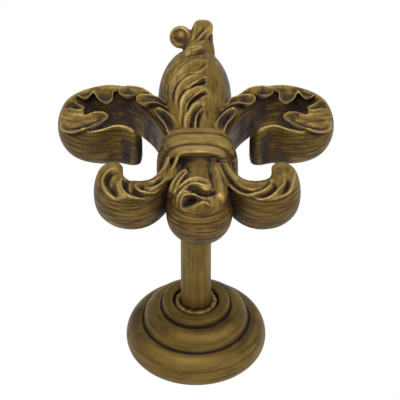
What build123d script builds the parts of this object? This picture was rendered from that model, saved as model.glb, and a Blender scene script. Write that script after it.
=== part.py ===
"""Curtain holdback: a cast fleur-de-lis on a round post, with a stepped rosette over its wall plate.

Millimetres. The wall side lies on Z = 0 and the post runs up +Z from the origin. +Y is the top of the
fleur-de-lis, whose flat back faces the wall and whose carved face looks along +Z.
"""

import os
from math import copysign, cos, hypot, radians, sin, sqrt

from build123d import *

# Post, and how far the ornament stands off the rosette
post_diameter = 16.0
post_wall = 1.5
post_exposed_length = 77.0
post_socket_depth = 17.0

# Rosette: a stepped cover with a flat ring, a middle moulding and an outer moulding
rosette_diameter = 75.0
rosette_height = 31.0
rosette_wall = 4.0
ring_width = 5.6
ring_step = 4.2
middle_width = 9.8
middle_drop = 8.2
groove = 1.2
ring_round = 1.2
ledge = 1.5
rim_height = 6.5
foot_inset = 5.2

# Wall plate, with the hub that carries the post
plate_inset = 7.5
plate_thickness = 4.0
plate_screw_circle = 44.0
plate_screw_hole = 4.4
plate_screw_head = 8.4
plate_screw_count = 3
hub_wall = 3.4
hub_bead = 1.5
hub_gap = 0.9
hub_below_ring = 0.5

# Threaded rod that ties ornament, post and plate together, with its nut and washer
rod_diameter = 6.0
rod_grip = 14.0
rod_end_room = 1.0
nut_across_flats = 10.0
nut_height = 5.0
nut_recess = 1.5
washer_diameter = 12.5
washer_thickness = 1.6
wrench_room = 1.0

# Fits
slide_clearance = 0.05
rod_clearance = 0.3
nest_clearance = 0.15

# Ornament: the carving is drawn at its own size and then scaled to this width
ornament_width = 144.0
drawn_width = 141.8
seat_margin = 2.5
leaf_steps = 24
round_sides = 24
lobe_lift = 0.8
lobe_scoop = 2.4
lobe_thickness = 4.5
tongue_shares = (0, 0.2, 0.4, 0.6, 0.76, 0.88, 0.95, 0.985)

# Sizes that follow from the ones above
post_radius = post_diameter / 2
rod_radius = rod_diameter / 2
hub_radius = post_radius + hub_wall
hole_radius = hub_radius + hub_gap
ring_radius = hole_radius + ring_width
step_radius = ring_radius + middle_width
rosette_radius = rosette_diameter / 2
crest_height = rosette_height - ring_step
shoulder_height = crest_height - middle_drop
hub_top = rosette_height - hub_below_ring
socket_floor = hub_top - post_socket_depth
plate_radius = rosette_radius - plate_inset
washer_seat = nut_recess + nut_height + washer_thickness
fleur_back = rosette_height + post_exposed_length


def turned(points):
    """A solid of revolution about Z from a closed outline of (radius, height) points."""
    outline = Polyline(*[(r, 0, z) for r, z in points], close=True)
    return revolve(make_face(outline), Axis.Z)


# Rosette, plate, post and hardware


def ovolo(start, end, steps=5):
    """Points of a quarter-round moulding from its inner top edge (r, z) out and down to its lower outer edge."""
    (r0, z0), (r1, z1) = start, end
    angles = [radians(90 * k / steps) for k in range(steps + 1)]
    return [(r0 + (r1 - r0) * sin(a), z1 + (z0 - z1) * cos(a)) for a in angles]


def base_rosette():
    """The stepped cover: three mouldings outside, a stepped hollow inside that nests over the wall plate."""
    lip_height = shoulder_height - groove
    foot_radius = rosette_radius - foot_inset
    foot_curve = ovolo((foot_radius, 0), (rosette_radius, rim_height), 3)
    outside = turned(
        [
            (hole_radius, 0),
            (hole_radius, rosette_height),
            *ovolo((ring_radius - ring_round, rosette_height), (ring_radius, rosette_height - ring_round), 2),
            (ring_radius, crest_height + groove),
            *ovolo((ring_radius + groove, crest_height), (step_radius, shoulder_height)),
            *ovolo((step_radius + groove, lip_height), (rosette_radius, rim_height)),
            *foot_curve[-2::-1],
        ]
    )
    hollow = turned(
        [
            (0, 0),
            (plate_radius + nest_clearance, 0),
            (plate_radius + nest_clearance, plate_thickness),
            (plate_radius - ledge, plate_thickness),
            (step_radius - rosette_wall, shoulder_height - rosette_wall),
            (ring_radius - 0.5 * rosette_wall, crest_height - rosette_wall),
            (0, crest_height - rosette_wall),
        ]
    )
    return outside - hollow


def wall_plate():
    """The disc that screws to the wall, its hub with the post socket, and the nut recess in its back."""
    bead_root = hub_top - hub_bead
    bead_middle = hub_radius - hub_bead
    inner_half = ovolo((bead_middle, hub_top), (bead_middle - hub_bead, bead_root), 2)
    plate = turned(
        [
            (0, 0),
            (plate_radius, 0),
            (plate_radius, plate_thickness),
            (hub_radius, plate_thickness),
            *ovolo((bead_middle, hub_top), (hub_radius, bead_root), 2)[::-1],
            *inner_half[1:],
            (0, bead_root),
        ]
    )
    socket = Pos(0, 0, hub_top) * Cylinder(
        post_radius + slide_clearance, post_socket_depth, align=(Align.CENTER, Align.CENTER, Align.MAX)
    )
    recess = Cylinder(
        washer_diameter / 2 + wrench_room, washer_seat, align=(Align.CENTER, Align.CENTER, Align.MIN)
    )
    rod_hole = Cylinder(rod_radius + rod_clearance, hub_top, align=(Align.CENTER, Align.CENTER, Align.MIN))
    screw = CounterSinkHole(plate_screw_hole / 2, plate_screw_head / 2, plate_thickness)
    screws = PolarLocations(plate_screw_circle / 2, plate_screw_count) * (Pos(0, 0, plate_thickness) * screw)
    return plate - socket - recess - rod_hole - screws


def post():
    """The round tube between the hub and the back of the ornament."""
    length = fleur_back - socket_floor
    tube = Cylinder(post_radius, length, align=(Align.CENTER, Align.CENTER, Align.MIN))
    bore = Cylinder(post_radius - post_wall, length, align=(Align.CENTER, Align.CENTER, Align.MIN))
    return Pos(0, 0, socket_floor) * (tube - bore)


def tie_rod():
    bottom = 0.5 * nut_recess
    length = fleur_back + rod_grip - bottom
    return Pos(0, 0, bottom) * Cylinder(rod_radius, length, align=(Align.CENTER, Align.CENTER, Align.MIN))


def tie_nut():
    body = extrude(RegularPolygon(nut_across_flats / 2, 6, major_radius=False), nut_height)
    return Pos(0, 0, nut_recess) * (body - Cylinder(rod_radius + slide_clearance, 4 * nut_height))


def tie_washer():
    disc = Cylinder(washer_diameter / 2, washer_thickness, align=(Align.CENTER, Align.CENTER, Align.MIN))
    ring = disc - Cylinder(rod_radius + rod_clearance, 4 * washer_thickness)
    return Pos(0, 0, nut_recess + nut_height) * ring


# Ornament, drawn with its back on Z = 0

# Stations of a leaf from the neck round to its curled end:
# outer edge, inner edge, height of the face and how far the outer wall draws in towards the back
upper_leaf = [
    ((-3, 6), (-12, 3), 22, 1),
    ((-12, 26), (-17, 21), 24, 2),
    ((-19.5, 41), (-23.5, 35), 25, 2),
    ((-30.5, 50.5), (-32.5, 45), 26, 2),
    ((-44, 54.5), (-44.3, 48.5), 26, 3),
    ((-57, 52), (-55.3, 46.5), 25, 5),
    ((-66.5, 44.5), (-62.3, 40.8), 24.5, 7),
    ((-70, 33), (-64.5, 31.8), 24, 8),
    ((-66.5, 21.5), (-61.5, 24.8), 23.5, 7),
    ((-58, 15.3), (-55.5, 21), 23.5, 6),
    ((-48, 14.8), (-47, 20.5), 25.3, 4),
    ((-40, 16.5), (-39.5, 22), 27, 3),
    ((-34, 15.2), (-33.5, 21.5), 26, 2.5),
    ((-30.5, 15.8), (-30.5, 21.8), 23, 2),
    ((-28.5, 17), (-28.7, 21.8), 20, 2),
]
lower_leaf = [
    ((-4, -3), (-12, 3), 22, 1),
    ((-12, -21), (-16.5, -10), 24, 4),
    ((-20, -34), (-21.5, -19.5), 25, 6),
    ((-30, -39.3), (-26.5, -22.3), 25.5, 6.5),
    ((-40.5, -37.7), (-31.5, -22), 25.5, 6.5),
    ((-48, -30.5), (-34.8, -20), 25.5, 6),
    ((-50, -22), (-35.8, -17), 25.5, 5),
    ((-48, -14), (-36, -13), 26, 4),
    ((-43, -9), (-37, -9), 24, 2),
]

# Stations of the two round petals: place along Y, radius and height of the centre
dome_shift = -0.6
dome_stations = [
    (0, 8.5, 12),
    (20, 14.5, 14.2),
    (38, 18.2, 16),
    (52, 19, 17.5),
    (64, 17.4, 18.8),
    (75, 12.6, 20),
    (84, 1, 21),
]
drop_shift = 1.8
drop_stations = [
    (4, 13, 12.5),
    (-10, 13.5, 12.5),
    (-22, 15, 12.5),
    (-34, 16.6, 12.5),
    (-41, 15.4, 12.5),
    (-46.5, 10.8, 12.5),
    (-49.3, 3.5, 12.5),
]

# Lobes of the left leaves, from the neck round: both rims in plan from the root to the shared tip,
# then the height of the rims at the root and at the tip
upper_lobes = [
    (
        [(-9, 20), (-12, 26.5), (-17.5, 32.5), (-19.5, 33), (-21, 30.5)],
        [(-12.5, 15), (-15, 20.5), (-17.5, 24.5), (-20, 27), (-21, 30.5)],
        (25.5, 26.5),
    ),
    (
        [(-11.5, 33), (-16, 38.5), (-23.5, 44), (-30, 42.5), (-30.5, 39.5)],
        [(-12, 28), (-15, 33), (-22, 37.5), (-28.5, 35.5), (-30.5, 39.5)],
        (25.5, 27),
    ),
    (
        [(-18.5, 42.5), (-23.5, 47.5), (-30, 50.5), (-38.5, 49.5), (-40.5, 46)],
        [(-17, 39), (-22.5, 44), (-28, 46), (-36, 43.5), (-40.5, 46)],
        (26, 27),
    ),
    (
        [(-52, 50.5), (-51.5, 44.5), (-49, 38.5), (-46, 36.5)],
        [(-40.5, 52), (-43, 46), (-43, 39.5), (-46, 36.5)],
        (23, 26.5),
    ),
    (
        [(-62, 46.5), (-60.5, 43), (-57, 40.5)],
        [(-52.5, 51.5), (-54, 45), (-57, 40.5)],
        (22.5, 26.5),
    ),
    (
        [(-65.5, 44), (-61.5, 38.5), (-58, 35), (-57, 32.5)],
        [(-69, 34.5), (-64.5, 31.5), (-59, 30), (-57, 32.5)],
        (22, 26.5),
    ),
    (
        [(-69, 31), (-62.5, 27), (-55, 27.5), (-48, 29.5), (-44.5, 25.5)],
        [(-68, 21.5), (-61.5, 15.5), (-54.5, 16), (-47, 21), (-44.5, 25.5)],
        (23, 26.5),
    ),
]
lower_lobes = [
    (
        [(-13.5, -29), (-19, -35), (-24.5, -36), (-27.5, -31.5), (-26, -28)],
        [(-13, -22), (-18.5, -30), (-21.5, -32), (-24.5, -30), (-26, -28)],
        (24.5, 27),
    ),
    (
        [(-18.5, -35), (-26, -38.5), (-32, -37.5), (-36, -33), (-36.5, -27), (-33, -24.5)],
        [(-18.5, -32.5), (-24, -36), (-29, -34.5), (-30.5, -28.5), (-33, -24.5)],
        (23.5, 27),
    ),
    (
        [(-39, -37), (-43.5, -34.5), (-45.8, -28.5), (-44.5, -21.5), (-40, -17.5), (-37.5, -19.5)],
        [(-36, -36.5), (-38.8, -33), (-38, -25.5), (-36.5, -21.5), (-37.5, -19.5)],
        (23.5, 27),
    ),
]

# Lobes that sweep across the two round petals: both rims in plan from the root to the shared tip
dome_lobes = [
    (
        [(-18, 48), (-17.5, 55), (-14, 60), (-7.5, 63.5), (-4.5, 62)],
        [(-15, 41), (-14.5, 47.5), (-9, 54.5), (-4.5, 59), (-4.5, 62)],
    ),
    (
        [(-14, 38), (-13.5, 44.5), (-8, 52), (0, 59), (3.5, 60.5), (6, 58.5)],
        [(-10.5, 30), (-10, 36), (-6, 44.5), (1.5, 50), (4.5, 53.5), (6, 58.5)],
    ),
    (
        [(-10.5, 27), (-10, 34), (-5, 43), (2, 48.5), (5, 47)],
        [(-7, 23), (-7, 29.5), (-3, 38), (3, 43.5), (5, 47)],
    ),
    (
        [(-8.5, 19), (-7.5, 26.5), (-3, 36.5), (2.5, 40), (5, 39)],
        [(-5.5, 17), (-5, 24), (-2.5, 30), (2.5, 35.5), (5, 39)],
    ),
    (
        [(-5, 14), (-4.5, 21), (-1, 27.5), (1.5, 29.5), (4.5, 29)],
        [(0, 13), (0.5, 19.5), (3, 26), (4.5, 29)],
    ),
]
drop_lobes = [
    (
        [(-12.5, -26), (-11.5, -18), (-9, -13.5), (-6.5, -14.5), (-4, -18)],
        [(-11.5, -35), (-11, -28), (-9, -24.5), (-6.5, -21.5), (-4, -18)],
    ),
    (
        [(-12, -38.5), (-11.5, -34), (-7, -27.5), (1, -27), (8, -31.5)],
        [(-9.5, -41.5), (-9.5, -37.5), (-5, -32), (2, -33), (8, -31.5)],
    ),
    (
        [(-7.5, -43), (-8.5, -40.5), (-4, -36), (-0.5, -38.5)],
        [(-5, -43.5), (-7, -41.5), (-3.5, -39.5), (-0.5, -38.5)],
    ),
]
drop_rib = (
    [(6.5, -4), (8, -19), (9.5, -33), (10, -39), (12, -41.5)],
    [(9.5, -4), (12, -14.5), (14.5, -24), (16, -33), (12, -41.5)],
)


def skin(rings):
    """A faceted solid through rings of points, closed at its two flat ends."""
    faces = [Face(Wire.make_polygon(ring, close=True)) for ring in (rings[0], rings[-1])]
    for near, far in zip(rings, rings[1:]):
        near = [*near, near[0]]
        far = [*far, far[0]]
        for k in range(len(near) - 1):
            faces.append(Face(Wire.make_polygon([near[k], near[k + 1], far[k + 1]], close=True)))
            faces.append(Face(Wire.make_polygon([near[k], far[k + 1], far[k]], close=True)))
    return Solid(Shell(faces))


def sampled(curve, steps):
    """Points at even steps along a curve, without its end."""
    return [curve @ (k / steps) for k in range(steps)]


def leaf_section(edge, rim, wall):
    """One upright ring of a leaf: bulging outer wall, crowned face, hollow inner wall.

    edge is the outer edge with the face height as its Z, rim the inner edge with the draw-in as its Z.
    """
    face = edge.Z
    draw = rim.Z
    width = hypot(rim.X - edge.X, rim.Y - edge.Y)
    across = Vector(rim.X - edge.X, rim.Y - edge.Y, 0) / width
    foot = max(draw + 3.0, min(wall, width))

    def at(n, z):
        return Vector(edge.X, edge.Y, 0) + across * n + Vector(0, 0, z)

    foot_out = at(draw * 1.1, 0)
    foot_in = at(foot, 0)
    edge_out = at(0.6, face - 1.5)
    edge_in = at(width, face - 2.5)
    outer_wall = Bezier(foot_out, at(-0.5 * draw, 0.2 * face), at(-1.8, 0.75 * face), edge_out)
    crown = Bezier(edge_out, at(0.2 * width, face + 1.2), at(0.7 * width, face + 0.6), edge_in)
    inner_wall = Bezier(edge_in, at(0.8 * foot + 0.2 * width, 0.7 * face), at(foot, 0.3 * face), foot_in)
    return [*sampled(outer_wall, 4), *sampled(crown, 3), *sampled(inner_wall, 3), foot_in]


def leaf(stations, wall):
    """A scrolled leaf: flat facets between rings taken at even steps along its two edges."""
    marks = [k / (len(stations) - 1) for k in range(len(stations))]
    outer = Edge.make_spline([Vector(*s[0], s[2]) for s in stations], parameters=marks)
    inner = Edge.make_spline([Vector(*s[1], s[3]) for s in stations], parameters=marks)
    steps = [k / leaf_steps for k in range(leaf_steps + 1)]
    rings = [leaf_section(outer @ t, inner @ t, wall) for t in steps]
    ahead = (outer % 1).cross(Vector(0, 0, 1)).cross(Vector(0, 0, -1)).normalized()
    middle = sum(rings[-1], Vector(0, 0, 0)) / len(rings[-1])
    for share, reach in ((0.9, 0.9), (0.6, 1.7)):
        rings.append([middle + (corner - middle) * share + ahead * reach for corner in rings[leaf_steps]])
    return skin(rings)


def bulb(stations, shift=0.0):
    """A round petal through upright rings, given as (y, radius, height of the centre)."""
    turns = [radians(360 * k / round_sides) for k in range(round_sides)]
    return skin([[Vector(shift + r * cos(a), y, z + r * sin(a)) for a in turns] for y, r, z in stations])


def rounded(stations, steps):
    """Stations of a round petal taken at even steps along a smooth curve through the given ones."""
    curve = Spline(*[Vector(*s) for s in stations])
    return [tuple(curve @ (k / steps)) for k in range(steps + 1)]


def on_face(low, high):
    """Rims that climb from one height to another over the first part of a lobe."""
    return lambda spot, share: (Vector(spot.X, spot.Y, low + (high - low) * min(1, share / 0.4)), Vector(0, 0, 1))


def on_bulb(stations, shift):
    """Rims that lie on a round petal, and the way up out of it."""

    def rest(spot, share):
        for (y0, r0, z0), (y1, r1, z1) in zip(stations, stations[1:]):
            part = (spot.Y - y0) / (y1 - y0)
            if 0 <= part <= 1:
                break
        radius = r0 + (r1 - r0) * part
        centre = z0 + (z1 - z0) * part
        side = max(-0.97, min(0.97, (spot.X - shift) / radius))
        up = Vector(side, 0, sqrt(1 - side * side))
        return Vector(shift, spot.Y, centre) + up * radius, up

    return rest


def free(spot, share):
    """Rims given in space."""
    return spot, Vector(0, 0, 1)


def tongue(left, right, rest, lift=lobe_lift, scoop=lobe_scoop, thickness=lobe_thickness):
    """One acanthus lobe between its rims: raised edges, a scooped middle and a keeled underside."""
    rims = [Spline(*left), Spline(*right)]
    rings = []
    for share in tongue_shares:
        (a, up_a), (b, up_b) = [rest(rim @ share, share) for rim in rims]
        up = (up_a + up_b).normalized()
        span = b - a
        depth = min(scoop, 0.45 * span.length)
        keel = min(thickness, 0.3 + 0.8 * span.length)

        def at(part, height):
            return a + span * part + up * height

        ring = [(0, -0.35 * keel), (0.06, lift), (0.2, lift - 0.6 * depth), (0.5, lift - depth)]
        ring += [(0.8, lift - 0.6 * depth), (0.94, lift), (1, -0.35 * keel), (0.5, -keel)]
        rings.append([at(part, height) for part, height in ring])
    return skin(rings)


def tip():
    """The curled end of the central petal: a ridged leaf, a dimpled scroll and two small leaves at its foot."""
    scroll = [(-5.2, 1.5, 0), (-4.2, 4, 0), (-2, 5.6, 0), (1.5, 5.6, 0), (4.2, 4, 0), (5.2, 1.5, 0)]
    dimple = [(-7, 4.4, 0), (-4, 3.6, 0), (-1.5, 1.5, 0)]
    neck = [(70, 7, 25), (76, 8.6, 27), (82, 8.6, 29), (87, 6.5, 31), (90, 2.5, 32)]
    paddle = (
        [(-5.5, 75, 30.5), (-3, 83, 33), (-1.5, 88.5, 36), (0.5, 91.7, 37.5), (4, 92, 38)],
        [(2, 74, 30.5), (6, 81, 33), (9, 86, 35.5), (8, 90.2, 37.5), (4, 92, 38)],
    )
    finger = (
        [(-7, 67, 33), (-4, 71.5, 35), (-0.5, 73.5, 35.5), (2.5, 73, 35), (3.5, 70.5, 35)],
        [(-5, 64, 34), (-2, 66.5, 35), (1, 67.5, 35.5), (3.5, 70.5, 35)],
    )
    back_leaf = (
        [(4, 73, 29), (5.5, 81, 31), (7, 85.5, 33), (8.3, 86.5, 34)],
        [(9.5, 69, 27), (10, 76, 29.5), (9.2, 81, 32), (8.3, 86.5, 34)],
    )
    return [
        Pos(-7.8, 85.2, 32.3) * Rot(-35, 0, 25) * (bulb(scroll) - bulb(dimple)),
        bulb(neck, 1.0),
        tongue(*paddle, free, thickness=6.0),
        tongue(*finger, free, scoop=-0.8),
        tongue(*back_leaf, free),
    ]


def tie_band():
    """The collar across the neck: three rounded ridges over a flat-topped arch, straight down both sides."""
    half_width = 18.0
    spring = 9.0
    rise = 19.3
    inside = 0.6
    squareness = 2 / 3.2
    arch_steps = 16
    # start, end, swell and how much narrower the arch is
    ridges = ((-8.5, -1.6, 2.7, 2.0), (-1.6, 7.5, 3.6, 0.0), (7.5, 12.2, 2.6, 0.8))

    def section(turn, foot):
        c = cos(radians(turn))
        s = sin(radians(turn))
        reach = copysign(abs(c) ** squareness, c)
        climb = s**squareness if s > 0.01 else 0.0
        away = Vector(copysign(abs(c) ** (2 - squareness), c) * rise, 0, climb * half_width).normalized()
        ring = []
        for start, end, swell, inset in ridges:
            for k in range(5):
                t = k / 5
                base = Vector(reach * (half_width - inset), 0, 0 if foot else spring + rise * climb)
                y = start + (end - start) * t * t * (3 - 2 * t)
                ring.append(base + away * (3 * swell * t * (1 - t)) + Vector(0, y, 0))
        core = Vector(reach * half_width * inside, 0, 0 if foot else (spring + rise * climb) * inside)
        return [*ring, core + Vector(0, ridges[-1][1], 0), core + Vector(0, ridges[0][0], 0)]

    turns = [180 * k / arch_steps for k in range(arch_steps + 1)]
    return Pos(0.8, 0, 0) * skin([section(0, True), *[section(a, False) for a in turns], section(180, True)])


def fleur_de_lis():
    """The cast ornament, cut flat at the back, with a blind hole for the tie rod."""
    right_shift = Pos(1.5, 0, 0)
    dome = rounded(dome_stations, 12)
    drop = rounded(drop_stations, 10)
    upper = [leaf(upper_leaf, 7.0), *[tongue(a, b, on_face(*z)) for a, b, z in upper_lobes]]
    lower = [leaf(lower_leaf, 9.0), *[tongue(a, b, on_face(*z)) for a, b, z in lower_lobes]]
    bodies = [
        bulb(dome, dome_shift),
        bulb(drop, drop_shift),
        tie_band(),
        *upper,
        *lower,
        *[piece.mirror(Plane.YZ) for piece in upper],
        *[right_shift * piece.mirror(Plane.YZ) for piece in lower],
        *[tongue(a, b, on_bulb(dome, dome_shift)) for a, b in dome_lobes],
        *[tongue(a, b, on_bulb(drop, drop_shift)) for a, b in drop_lobes],
        tongue(*drop_rib, on_bulb(drop, drop_shift), scoop=-0.8),
        *tip(),
    ]
    carving = split(Part() + bodies, Plane.XY, keep=Keep.TOP)
    carving = scale(carving, by=ornament_width / drawn_width)
    upright = (Align.CENTER, Align.CENTER, Align.MIN)
    seat = Cylinder(post_radius + seat_margin, rod_grip + rod_end_room + seat_margin, align=upright)
    rod_hole = Cylinder(rod_radius + slide_clearance, rod_grip + rod_end_room, align=upright)
    return Pos(0, 0, fleur_back) * (carving + seat - rod_hole)


NODES = (fleur_de_lis, post, base_rosette, wall_plate, tie_rod, tie_nut, tie_washer)


def main():
    os.makedirs("parts", exist_ok=True)
    for make in NODES:
        export_step(make(), f"parts/{make.__name__}.step")


if __name__ == "__main__":
    main()
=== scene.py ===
"""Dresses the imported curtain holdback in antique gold: cast fleur-de-lis, post and turned rosette."""

import math

import bpy
import numpy as np
from bpy.props import FloatProperty, FloatVectorProperty, IntProperty, PointerProperty
from bpy.types import Operator, Panel, PropertyGroup
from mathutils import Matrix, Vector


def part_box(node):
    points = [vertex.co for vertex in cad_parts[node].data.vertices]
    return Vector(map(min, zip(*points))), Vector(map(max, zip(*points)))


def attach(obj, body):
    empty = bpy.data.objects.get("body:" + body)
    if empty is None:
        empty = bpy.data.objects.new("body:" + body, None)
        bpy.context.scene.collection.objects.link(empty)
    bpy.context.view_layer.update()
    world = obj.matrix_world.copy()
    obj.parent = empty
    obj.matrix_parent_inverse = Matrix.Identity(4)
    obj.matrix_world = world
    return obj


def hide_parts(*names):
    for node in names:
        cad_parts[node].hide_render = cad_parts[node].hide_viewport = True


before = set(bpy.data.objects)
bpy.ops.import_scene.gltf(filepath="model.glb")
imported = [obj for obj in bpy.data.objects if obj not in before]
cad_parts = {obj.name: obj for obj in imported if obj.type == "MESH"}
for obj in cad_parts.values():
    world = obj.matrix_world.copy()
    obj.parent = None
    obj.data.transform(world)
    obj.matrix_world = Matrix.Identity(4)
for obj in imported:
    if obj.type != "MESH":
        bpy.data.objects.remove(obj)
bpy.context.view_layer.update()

bl_info = {
    "name": "Curtain Holdback Finish",
    "version": (1, 0, 0),
    "blender": (4, 2, 0),
    "location": "3D View > Sidebar > Holdback",
    "description": "Models and paints the cast fleur-de-lis curtain holdback",
    "category": "Object",
}

MM = 0.001

# The ornament is drawn in millimetres with its back on Z = 0, then scaled and moved to the end of the post
DRAWN_SCALE = 144.0 / 141.8
ORNAMENT_BACK = 108.0
UP = np.array((0.0, 0.0, 1.0))

# Stations of a leaf from the neck round to its curled end:
# outer edge, inner edge, height of the face and how far the outer wall draws in towards the back
UPPER_LEAF = (
    ((-3, 6), (-12, 3), 22, 1),
    ((-12, 26), (-17, 21), 24, 2),
    ((-19.5, 41), (-23.5, 35), 25, 2),
    ((-30.5, 50.5), (-32.5, 45), 26, 2),
    ((-44, 54.5), (-44.3, 48.5), 26, 3),
    ((-57, 52), (-55.3, 46.5), 25, 5),
    ((-66.5, 44.5), (-62.3, 40.8), 24.5, 7),
    ((-70, 33), (-64.5, 31.8), 24, 8),
    ((-66.5, 21.5), (-61.5, 24.8), 23.5, 7),
    ((-58, 15.3), (-55.5, 21), 23.5, 6),
    ((-48, 14.8), (-47, 20.5), 25.3, 4),
    ((-40, 16.5), (-39.5, 22), 27, 3),
    ((-34, 15.2), (-33.5, 21.5), 26, 2.5),
    ((-30.5, 15.8), (-30.5, 21.8), 23, 2),
    ((-28.5, 17), (-28.7, 21.8), 20, 2),
)
LOWER_LEAF = (
    ((-4, -3), (-12, 3), 22, 1),
    ((-12, -21), (-16.5, -10), 24, 4),
    ((-20, -34), (-21.5, -19.5), 25, 6),
    ((-30, -39.3), (-26.5, -22.3), 25.5, 6.5),
    ((-40.5, -37.7), (-31.5, -22), 25.5, 6.5),
    ((-48, -30.5), (-34.8, -20), 25.5, 6),
    ((-50, -22), (-35.8, -17), 25.5, 5),
    ((-48, -14), (-36, -13), 26, 4),
    ((-43, -9), (-37, -9), 24, 2),
)

# Thickness of a leaf's wall at the back, then how far its face falls inwards
UPPER_BUILD = (7.0, 5.0)
LOWER_BUILD = (9.0, 2.5)

# The right lower leaf stands a little further out than the left one
LOWER_SHIFT = (1.5, 0.0, 0.0)

# How the curled end of a leaf is rounded off: share of the last ring that is kept and its reach ahead
LEAF_END = ((0.97, 0.45), (0.9, 0.9), (0.77, 1.35), (0.6, 1.7))

# Stations of the two round petals: place along Y, radius and height of the centre
DOME_SHIFT = -0.6
DOME = (
    (0, 8.5, 12), (20, 14.5, 14.2), (38, 18.2, 16), (52, 19, 17.5),
    (64, 17.4, 18.8), (75, 12.6, 20), (84, 1, 21),
)
DROP_SHIFT = 1.8
DROP = (
    (4, 13, 12.5),
    (-10, 13.5, 12.5),
    (-22, 15, 12.5),
    (-34, 16.6, 12.5),
    (-41, 15.4, 12.5),
    (-46.5, 10.8, 12.5),
    (-49.3, 3.5, 12.5),
)

# Lobes of the left upper leaf, from the neck round: both rims in plan from the root to the shared tip,
# then the height of the rims at the root and at the tip
UPPER_LOBES = (
    (
        (
            (-11.5, 14), (-10, 20), (-11.5, 24), (-14, 28.5),
            (-16.5, 31.5), (-19, 33), (-20.5, 32), (-21, 30.5),
        ),
        ((-13.5, 12.5), (-14.5, 14.5), (-15.5, 18), (-17.5, 22.5), (-19.5, 26), (-20.5, 28.5), (-21, 30.5)),
        (23.7, 26),
    ),
    (
        (
            (-10.5, 28), (-12.5, 31.5), (-16, 37.5), (-19, 41.5), (-23.5, 43.5),
            (-26.5, 44), (-29, 43.5), (-30.5, 42), (-31, 39.5),
        ),
        (
            (-11, 25), (-15, 32.5), (-18.5, 35.5), (-22.5, 36.5),
            (-26, 35.5), (-28.5, 36), (-30, 37.5), (-31, 39.5),
        ),
        (23.8, 26.3),
    ),
    (
        ((-19, 43.5), (-24, 47.5), (-28, 49.5), (-33.5, 51), (-37.5, 50.5), (-39.5, 49.5), (-40, 47.5)),
        (
            (-22.5, 43.5), (-25.5, 45.5), (-28.5, 44.5), (-31.5, 43.5), (-34, 42.5),
            (-37, 42.5), (-39, 43.5), (-40, 45), (-40, 47.5),
        ),
        (24, 26.3),
    ),
    (
        ((-53, 52.5), (-53, 48.5), (-52, 44), (-50.5, 40.5), (-48.5, 38), (-46, 37)),
        (
            (-40, 52), (-40.5, 49), (-42, 47.5), (-42.5, 45),
            (-42.5, 42), (-43, 39), (-44.5, 37.5), (-46, 37),
        ),
        (24, 26),
    ),
    (
        ((-61.5, 47.5), (-61.5, 45), (-60.5, 43), (-59, 41.5), (-57, 41)),
        ((-53, 51.5), (-53, 48), (-53.5, 45), (-55, 42.5), (-56, 41.5), (-57, 41)),
        (23, 25.7),
    ),
    (
        ((-66, 44.5), (-63.5, 42), (-62.5, 39), (-61, 37), (-59, 35.5), (-57.5, 34.5), (-57, 33.5)),
        ((-69, 36), (-67.5, 34), (-64.5, 32.5), (-62, 31.5), (-59.5, 31), (-58, 32), (-57, 33.5)),
        (22.4, 25.5),
    ),
    (
        (
            (-69.5, 31), (-66, 29), (-60.5, 28), (-56.5, 29), (-53, 30),
            (-49, 30.5), (-46.5, 30), (-45, 28.5), (-44.5, 27),
        ),
        (
            (-69.5, 21), (-66.5, 16.5), (-64, 15), (-60, 14.5), (-56, 16),
            (-52, 19), (-48.5, 22), (-45.5, 24.5), (-44.5, 27),
        ),
        (22, 25.2),
    ),
)

# Web between its last two lobes, in space
UPPER_WEB = (
    ((-69, 37, 23), (-66, 34.5, 24.5), (-62, 33, 25), (-58.5, 33, 25), (-57, 31, 24.5)),
    ((-69.5, 29, 23), (-66, 27.5, 24.5), (-61, 27, 25), (-58, 28.5, 25), (-57, 31, 24.5)),
)

# Strands of the lower leaf where they come out from under the collar, as both edges in space
STRAND = (
    ((-15.5, -4, 22), (-15.5, -12, 23.5), (-17.5, -19, 24), (-21, -25, 24)),
    ((-5.5, -4, 22), (-7.5, -14, 23.5), (-11, -22, 23.5), (-21, -25, 24)),
)

# Two thin strands and a broad blade between the collar and the lower petal, in space
COLLAR_STRANDS = (
    (
        ((-10.4, -9, 27), (-11.4, -13, 25.8), (-13, -17, 25), (-13.4, -20.5, 24.5)),
        ((-8.2, -9, 27.5), (-9.3, -13, 26.3), (-11.3, -17, 25.4), (-13.4, -20.5, 24.5)),
    ),
    (
        ((-14.8, -8, 26), (-15.8, -13, 25.2), (-18, -17.5, 24.9), (-20.5, -22, 24.8)),
        ((-12.4, -8, 26.5), (-13.6, -13, 25.8), (-16, -18, 25.3), (-20.5, -22, 24.8)),
    ),
)
DROP_BLADE = (
    (
        (-12, -37, 17), (-13.5, -34, 19.5), (-14, -31, 22), (-12.5, -27.5, 24.5),
        (-10, -24, 26), (-7, -20, 26.8), (-4.5, -18.5, 27),
    ),
    (
        (-8, -39, 19.5), (-9.5, -37, 22), (-10, -34, 24.5), (-8.5, -30, 26.3),
        (-6.5, -25.5, 27), (-4, -21, 27.3), (-4.5, -18.5, 27),
    ),
)

# Broad rib down the right of the lower petal, as both its edges in plan
DROP_RIB = (
    ((6.5, -4), (8, -19), (9.5, -33), (10, -39), (12, -41.5)),
    ((9.5, -4), (12, -14.5), (14.5, -24), (16, -33), (12, -41.5)),
)

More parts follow.
